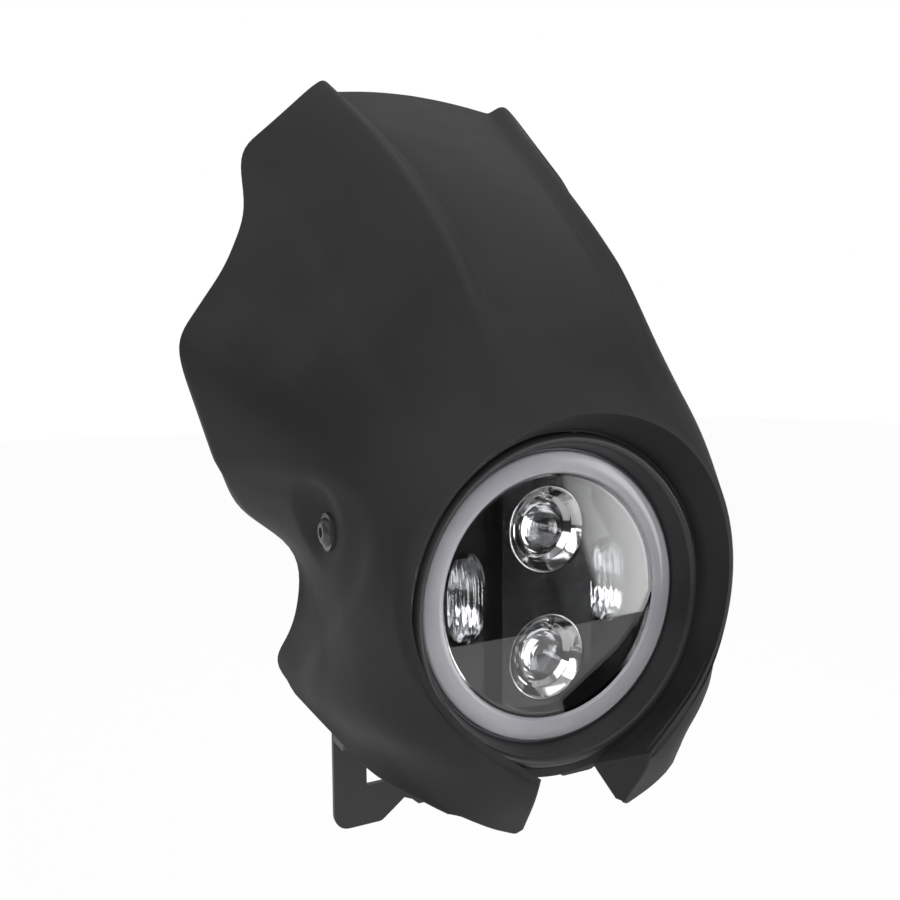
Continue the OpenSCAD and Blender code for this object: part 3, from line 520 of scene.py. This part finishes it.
# The right half's visible face. Past the chin column it turns back as a wall that narrows the notch.
def cowlFace(c, tube, roll, skin):
    c = np.asarray(c, float)
    face, share, past = cowlColumns(np.minimum(c, cowl["chin"]), tube, roll, skin)
    rows = len(face)
    lipRow = len(tube) - 1
    seatR = cowl["seat"] - 1
    top, seat = (np.array(cowl[k]) * [seatR, 1, seatR] for k in ("notchTop", "notchSeat"))
    foot = np.array(cowl["notchFoot"])
    k = np.arange(rows)[:, None]
    back = np.where(k <= lipRow, seat + (top - seat) * np.minimum(k / max(lipRow, 1), 1),
                    top + (foot - top) * np.clip((k - lipRow) / (rows - 1 - lipRow), 0, 1))
    f = np.clip((c - cowl["chin"]) / cowl["notch"], 0, 1)[None, :, None]
    return face + f * (back[:, None, :] - face), share, past


# The skin is a closed sheet: the visible face, the same face set back by the wall, and a round edge between them
def buildCowl():
    tube = np.concatenate([[0, 0.5, 1.0], 1 + np.array([0.2, 0.4, 0.6, 0.8, 0.9, 0.96, 1.0])])
    roll = np.linspace(0, 1, 11)[1:]
    margin = [-0.006, -0.002, 0.01, 0.05, 0.12, 0.22, 0.35, 0.5, 0.64, 0.76, 0.84, 0.89, 0.928, 0.961, 0.987, 1]
    skin = np.concatenate([np.linspace(0, 1, 80)[1:-1], 1 + np.array(margin)])
    chin, end = cowl["chin"], cowl["chin"] + cowl["notch"]
    # Columns are close together at the ribs, at the chin and at the end of the notch wall
    right = np.unique(np.round(np.concatenate([
        np.arange(0, 6.5, 0.5), np.arange(6.5, 11.5, 0.125), np.arange(11.5, 51, 0.33), np.arange(51, 51.7, 0.1),
        chin - np.array([0.3, 0.25, 0.2, 0.16, 0.12, 0.09, 0.06, 0.035, 0.015, 0]),
        chin + np.linspace(0.05, 0.3, 6), chin + np.linspace(0.4, 2.6, 7),
        end - np.array([0.25, 0.14, 0.09, 0.05, 0.025, 0.01, 0])]), 5))
    turned = cowl["foldRadius"] * np.clip(1 - np.abs(right - chin) / (2 * cowl["foldRadius"]), 0, 1)
    samples = [cowlFace(np.clip(right + turned * k / 2, 0, end), tube, roll, skin) for k in (-2, -1, 0, 1, 2)]
    half, share, past = (sum(s[i] for s in samples) / 5 for i in range(3))
    columns = np.concatenate([-right[:0:-1], right])
    face = np.concatenate([half[:, :0:-1] * [-1, 1, 1], half], axis=1)
    share, past = (np.concatenate([v[:, :0:-1], v], axis=1) for v in (share, past))
    lipRow = len(tube) - 1

    face = face + ribRise(columns, share)[..., None] * normals(face)
    width, deep = (np.interp(np.abs(columns), *zip(*cowl[k])) for k in ("foldWidth", "foldDepth"))
    turnedBack = deep / width * 0.5 * (past + np.sqrt(past ** 2 + cowl["foldSoft"] ** 2))
    lifted = deep * ease((share - cowl["lift"]) / (1 - cowl["lift"]))
    sunk = cowl["recess"] * recessShare(face) + turnedBack - lifted
    sunk[:lipRow + 1] = 0
    face = face - sunk[..., None] * normals(face)
    far = np.hypot(face[..., 1] - cowl["bolt"][0], face[..., 2] - cowl["bolt"][1])
    near, gone = cowl["padReach"]
    flat = np.where(np.abs(face[..., 0]) > 80, 1 - ease((far - near) / (gone - near)), 0)
    flat[:lipRow + 1] = 0
    face[..., 0] += flat * (np.sign(face[..., 0]) * cowl["pad"] - face[..., 0])

    n = normals(face)
    span = np.minimum(np.linalg.norm(face - face[-1:], axis=-1),
                      np.minimum(np.linalg.norm(face - face[:, :1], axis=-1),
                                 np.linalg.norm(face - face[:, -1:], axis=-1)))
    r = cowl["rimRadius"]
    rounded = r - np.sqrt(np.maximum(r * r - np.clip(r - span, 0, r) ** 2, 0))
    rounded = np.where(span < r, rounded, 0)[..., None]
    outer = face - rounded * n
    thick = np.full(face.shape[:2], cowl["wall"])
    thick[lipRow] *= 1.2
    inner = face - (np.maximum(thick[..., None] - rounded, rounded)) * n
    rows, cols = face.shape[:2]
    points = np.concatenate([outer.reshape(-1, 3), inner[::-1].reshape(-1, 3)])
    faces = gridFaces(2 * rows, cols, closeRows=True)
    ends = []
    for col in (0, cols - 1):
        a = np.arange(rows - 1)
        o0, o1 = a * cols + col, (a + 1) * cols + col
        i0, i1 = (2 * rows - 1 - a) * cols + col, (2 * rows - 2 - a) * cols + col
        ends.append(np.stack([o0, o1, i1, i0], -1))
    faces = np.concatenate([faces, *ends])
    return makeMesh("cowlSkin", points, faces, sharp=38.0, merge=0.004, material=materials["mattSkin"])


# The flange behind the ring, and the bosses that the side bolts go through
def buildFlange():
    inner, outer, front, back, edge = cowl["flange"]
    profile = [(inner, front + 0.3), (inner + 0.35, front), (outer - edge, front), (outer, front + edge),
               (outer, back), (inner, back)]
    return revolve("cowlFlange", profile, segments=192, material=materials["mattSkin"])


def buildBoss(label, side):
    inner, outer, near, far, edge = cowl["boss"]
    profile = [(inner, near), (outer - edge, near), (outer, near + edge), (outer, far), (inner, far)]
    return revolve(label + "CowlBoss", [(r, side * x) for r, x in profile], centre=(0, *cowl["bolt"]), axis="x",
                   segments=64, material=materials["mattSkin"])


cowlSkin = buildCowl()
for piece in (cowlSkin, buildFlange(), buildBoss("right", 1), buildBoss("left", -1)):
    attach(piece, "root")
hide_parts("cowl")
print("cowl built")

lamp = dict(
    haloRadii=(58.3, 69.0),
    haloDepth=6.0,
    haloCrown=0.35,  # how far its middle stands out
    haloEdge=(1.5, 1.0),  # round of the outer edge, chamfer at the bore
    lensRadius=58.1,
    lensRise=0.5,
    lensSeat=1.5,  # depth of its edge
    lensWall=2.5,
    cupHeight=31.02,  # of the projectors above and below the lamp axis
    cupRadii=(12.6, 20.0, 21.0),  # lens, bowl, rim
    cupFront=9.0,
    cupDepth=6.0,
    cupBase=((9.0, 31.4), (5.0, 31.4), (5.0, 29.4)),  # radius and depth of the ring at its foot
    cupBow=0.8,  # power of the bowl's curve
    facets=8,
    faceting=0.25,  # share of a flat facet's depth
    # centre, half width and height, squareness of the outline, depths of the black floor and of the lens's back,
    # bulge of the lens, depth of the bowl, height and pitch of the flutes, the bezel's opening and the gap in it
    optic=dict(x=40.3, halfW=12.2, halfH=22.2, square=2.5, floor=17.0, back=19.2, bulge=8.0, bowl=9.0,
               flute=0.26, pitch=3.4, opening=(27.5, 22.5, 53.1), gap=0.15),
)


# Halo ring: a low crown between its two radii, with a rounded outer edge and a chamfer at the bore
def buildHalo(v):
    (inner, outer), back, rise, (r, chamfer) = (v[k] for k in ("haloRadii", "haloDepth", "haloCrown", "haloEdge"))
    a = np.linspace(0, math.pi / 2, 8)
    rounding = np.stack([outer - r + r * np.cos(a), rise + r - r * np.sin(a)], -1)
    f = np.linspace(0, 1, 14)[1:-1]
    crown = np.stack([outer - r - f * (outer - inner - r - chamfer), rise * (2 * f - 1) ** 2], -1)
    bore = [(inner + chamfer, rise), (inner + 0.25 * chamfer, rise + 0.75 * chamfer),
            (inner, rise + 1.4 * chamfer), (inner, back), (outer, back)]
    return revolve("haloRing", np.concatenate([rounding, crown, bore]), segments=256,
                   material=materials["haloFrost"])


# Front lens: a shallow ball's cap and the same cap set back by the wall
def buildLens(v):
    edge, rise = v["lensRadius"], v["lensRise"]
    ball = (edge ** 2 + rise ** 2) / (2 * rise)
    r = np.linspace(0, edge, 48)
    y = v["lensSeat"] - rise + ball - np.sqrt(ball ** 2 - r ** 2)
    front = np.stack([r, y], -1)
    back = np.stack([r[::-1] * (1 - 1 / edge), y[::-1] + v["lensWall"]], -1)
    return revolve("frontLens", np.concatenate([front, back]), segments=256, material=materials["frontClear"],
                   closed=False)


# Projector cup: a bowl of slight facets in two rows, the second turned by half a facet, with a round rim
def buildCup(v, name, z):
    lensR, bowlR, rimR = v["cupRadii"]
    frontY = v["cupFront"]
    n, cols = v["facets"], v["facets"] * 24
    t = np.linspace(0, 2 * math.pi, cols, endpoint=False)
    pitch = 2 * math.pi / n

    def facet(phase):
        return 1 + v["faceting"] * (math.cos(pitch / 2) / np.cos(np.mod(t + phase, pitch) - pitch / 2) - 1)
    rows = []
    for f in (1.0, 0.985, 0.75, 0.53, 0.5, 0.47, 0.25, 0.015, 0.0):
        r, y = lensR + (bowlR - lensR) * f, frontY + v["cupDepth"] * (1 - f) ** v["cupBow"]
        flat = facet(0) if f > 0.5 else facet(pitch / 2)
        flat = 1 + 0 * t if f in (1.0, 0.5, 0.0) else flat
        rows.append((r * flat, y + 0 * t))
    a = np.linspace(0, math.pi, 9)[1:-1]
    rim = [(bowlR + (rimR - bowlR) * (1 - np.cos(x)) / 2, frontY - 0.35 * np.sin(x)) for x in a]
    rest = [(rimR, frontY), (rimR, frontY + 2), (lensR + 2, frontY + 10), *v["cupBase"],
            (lensR - 1, frontY + 10), (lensR, frontY + 8)]
    profile = rows[::-1] + [(r + 0 * t, y + 0 * t) for r, y in rim + rest]
    r, y = (np.stack([p[i] for p in profile]) for i in range(2))
    points = np.stack([r * np.sin(t), y, z + r * np.cos(t)], -1).reshape(-1, 3)
    faces = gridFaces(len(profile), cols, closeRows=True, closeCols=True)
    return makeMesh(name, points, faces, sharp=12.0, merge=0.001, material=materials["smokedChrome"])


# A side optic's outline: distance from its centre in direction t, between an ellipse and a box
def opticEdge(o, t):
    n = o["square"]
    return (np.abs(np.cos(t) / o["halfW"]) ** n + np.abs(np.sin(t) / o["halfH"]) ** n) ** (-1 / n)


# A closed piece from rows of (share of the outline, depth) about a side optic, mirrored for the left side
def opticPiece(name, o, side, rows, label, sharp, closeRows=False):
    t = np.linspace(0, 2 * math.pi, 192, endpoint=False)
    points = []
    for reach, y in rows:
        d = reach(t) if callable(reach) else reach * opticEdge(o, t)
        x = d * np.cos(t)
        y = y(x) if callable(y) else y + 0 * t
        points.append(np.stack([side * (o["x"] + x), y, d * np.sin(t)], -1))
    faces = gridFaces(len(rows), len(t), closeRows=closeRows, closeCols=True)
    return makeMesh(name, np.concatenate(points), faces, sharp=sharp, merge=0.001, material=materials[label])


# A side optic is a fluted lens, a bowl behind it, and a black surround that fills the opening in the bezel
def buildOptic(v, label, side):
    o = v["optic"]
    left, half, ring = o["opening"]

    def opening(t):
        c, s = np.cos(t), np.sin(t)
        toSide = np.where(c < -1e-6, (left - o["x"]) / np.minimum(c, -1e-6), 1e3)
        toEnd = half / np.maximum(np.abs(s), 1e-6)
        toRing = -o["x"] * c + np.sqrt(ring ** 2 - (o["x"] * s) ** 2)
        return np.minimum(np.minimum(toSide, toEnd), toRing) - o["gap"]

    def between(f):
        return lambda t: opening(t) * (1 - f) + opticEdge(o, t) * f

    def fluted(rho):
        dome = o["back"] - o["bulge"] * math.sqrt(1 - rho ** 2)
        return lambda x: dome + o["flute"] * (1 - rho ** 4) * np.cos(2 * math.pi * x / o["pitch"])
    floor, back = o["floor"], o["back"]
    surround = [(between(0), back + 1.5), (between(0), floor + 0.3), (between(0.04), floor),
                (between(0.5), floor), (between(0.93), floor), (between(1.0), floor + 0.4),
                (between(1.02), back + 1.5)]
    f = np.sin(np.linspace(0, math.pi / 2, 26))
    lens = [(rho, fluted(rho)) for rho in f[:-1]] + [(1.0, back), (0.5, back), (0.0, back)]
    mirror, rear = back + 0.3, back + 1.3
    bowl = [(0.98 * rho, mirror + o["bowl"] * (1 - rho ** 2)) for rho in np.linspace(0, 1, 16)]
    bowl += [(1.08, mirror), (1.08, rear)]
    bowl += [(0.98 * rho, rear + o["bowl"] * (1 - rho ** 2)) for rho in np.linspace(0.9, 0, 10)]
    return (opticPiece(label + "OpticSurround", o, side, surround, "bezelBlack", 25, closeRows=True),
            opticPiece(label + "OpticLens", o, side, lens, "lensClear", 40),
            opticPiece(label + "OpticBowl", o, side, bowl, "smokedChrome", 30))


haloRing = buildHalo(lamp)
frontLens = buildLens(lamp)
upperCup = buildCup(lamp, "upperCup", lamp["cupHeight"])
lowerCup = buildCup(lamp, "lowerCup", -lamp["cupHeight"])
for piece, slot, node in ((haloRing, "halo_frost", "halo_ring"), (frontLens, "clear_lens", "front_lens"),
                          (upperCup, "mirror_chrome", "upper_projector_cup"),
                          (lowerCup, "mirror_chrome", "lower_projector_cup")):
    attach(piece, "root")
    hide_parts(node)
for side, label in ((1, "right"), (-1, "left")):
    surround, lens, bowl = buildOptic(lamp, label, side)
    for piece, slot in ((surround, "bezel_black"), (lens, "clear_lens"), (bowl, "mirror_chrome")):
        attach(piece, "root")
    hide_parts(label + "_side_lens")
    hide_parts(label + "_side_reflector")
print("lamp built")

studio = dict(
    floorBelow=0.35,  # m under the object
    floorWhite=0.97,
    floorColour=(0.6, 0.6, 0.6),
    floorFront=-1.385,  # where the floor ends towards the camera, m
    floorReach=9.0,
    ambient=0.40,
    ambientTop=0.45,  # the most that the soft world gives in any direction, before ambient
    # What is mirrored, by direction: levels, and the spans of x, y or z over which each comes and goes
    window=(1.6, 6.5),  # level at its left edge and further right
    windowSlant=0.2,  # how far its edge leans
    windowEdge=(0.531, 0.543),
    windowRise=(0.55, 0.64),
    windowFall=(0.72, 0.84),
    windowTop=(0.04, 0.16),
    aboveWindow=0.1,  # share of the window's level
    side=0.5,
    left=0.1,
    leftFrom=(-0.45, -0.85),
    top=0.9,
    topFrom=(0.45, 0.8),
    front=0.05,
    behindFrom=(0.5, 0.9),
    lampAim=(0.0, -0.05, 0.15),
    lampsMirrored=False,
    lamps=[
        # name, place in m, size, power
        ("softRight", (1.2, -0.8, -0.08), 0.5, 10.0),
        ("softLeft", (-0.75, -1.3, 0.65), 1.0, 22.0),
        ("softTop", (0.0, -0.5, 1.6), 1.2, 11.0),
        ("softBack", (0.8, 1.3, 1.0), 1.2, 20.0),
    ],
)


# White to the camera. Mirrors and glass see the same white behind the object, and round the camera a plain
# studio: a window low at the right, a pale top, and a dark left side and front.
def makeWorld(s):
    world = bpy.data.worlds.new("studio")
    bpy.context.scene.world = world
    world.use_nodes = True
    t = Tree(world.node_tree)
    world.node_tree.nodes.clear()
    d = t.node("ShaderNodeSeparateXYZ", {0: t.node("ShaderNodeTexCoord").outputs["Generated"]})
    x, y, z = d.outputs
    slanted = t.math("MULTIPLY_ADD", z, s["windowSlant"], x)
    level = t.span(slanted, *s["windowEdge"])
    level = t.math("MULTIPLY", level, t.span(x, *s["windowRise"], *s["window"]))
    level = t.math("MULTIPLY", level, t.span(x, *s["windowFall"], 1.0, s["side"] / s["window"][1]))
    level = t.math("MULTIPLY", level, t.span(z, *s["windowTop"], 1.0, s["aboveWindow"]))
    level = t.math("MAXIMUM", level, t.math("MULTIPLY", t.span(x, *s["leftFrom"]), s["left"]))
    level = t.math("MAXIMUM", level, t.math("MULTIPLY", t.span(z, *s["topFrom"]), s["top"]))
    level = t.math("MAXIMUM", level, s["front"])
    behind = t.span(y, *s["behindFrom"])
    level = t.math("MULTIPLY_ADD", behind, t.math("SUBTRACT", 1.0, level), level)
    colour = t.node("ShaderNodeCombineColor", {0: level, 1: level, 2: level})
    capped = t.math("MINIMUM", level, s["ambientTop"])
    plain = t.node("ShaderNodeCombineColor", {0: capped, 1: capped, 2: capped})
    path = t.node("ShaderNodeLightPath")
    soft = t.node("ShaderNodeBackground", {"Color": plain.outputs[0], "Strength": s["ambient"]})
    mirrored = t.node("ShaderNodeBackground", {"Color": colour.outputs[0], "Strength": 1.0})
    white = t.node("ShaderNodeBackground", {"Color": (1, 1, 1, 1), "Strength": 1.0})
    clear = t.math("MAXIMUM", path.outputs["Is Glossy Ray"], path.outputs["Is Transmission Ray"])
    a = t.node("ShaderNodeMixShader", {0: clear, 1: soft.outputs[0], 2: mirrored.outputs[0]})
    b = t.node("ShaderNodeMixShader", {0: path.outputs["Is Camera Ray"], 1: a.outputs[0], 2: white.outputs[0]})
    out = t.node("ShaderNodeOutputWorld")
    t.link(b.outputs[0], out.inputs["Surface"])


def makeLamps(s):
    for name, place, size, power in s["lamps"]:
        data = bpy.data.lights.new(name, "AREA")
        data.shape = "SQUARE"
        data.size = size
        data.energy = power
        light = bpy.data.objects.new(name, data)
        bpy.context.scene.collection.objects.link(light)
        aim = Vector(s["lampAim"]) - Vector(place)
        turn = aim.to_track_quat("-Z", "Y").to_matrix().to_4x4()
        light.matrix_world = Matrix.Translation(Vector(place)) @ turn
        light.visible_glossy = s["lampsMirrored"]


# A pale floor, white to the camera but for the object's shadow
def makeFloor(s):
    z = cadLow.z - s["floorBelow"]
    mesh = bpy.data.meshes.new("floor")
    front, far = s["floorFront"], s["floorReach"]
    mesh.from_pydata([(-far, front, z), (far, front, z), (far, far, z), (-far, far, z)], [], [(0, 1, 2, 3)])
    floor = bpy.data.objects.new("floor", mesh)
    bpy.context.scene.collection.objects.link(floor)
    mat, t, shader, _ = newMaterial("paleFloor")
    shader.inputs["Base Color"].default_value = (*s["floorColour"], 1)
    shader.inputs["Roughness"].default_value = 0.9
    glow = t.node("ShaderNodeEmission", {"Color": (1, 1, 1, 1), "Strength": 1.0})
    path = t.node("ShaderNodeLightPath")
    seen = t.math("MAXIMUM", path.outputs["Is Camera Ray"], path.outputs["Is Transmission Ray"])
    seen = t.math("MAXIMUM", seen, path.outputs["Is Glossy Ray"])
    share = t.math("MULTIPLY", seen, s["floorWhite"])
    mixed = t.node("ShaderNodeMixShader", {0: share, 1: shader.outputs[0], 2: glow.outputs[0]})
    t.link(mixed.outputs[0], mat.node_tree.nodes["Material Output"].inputs["Surface"])
    mesh.materials.append(mat)


makeWorld(studio)
makeLamps(studio)
makeFloor(studio)
bpy.context.scene.view_settings.view_transform = "Standard"
print("studio set")
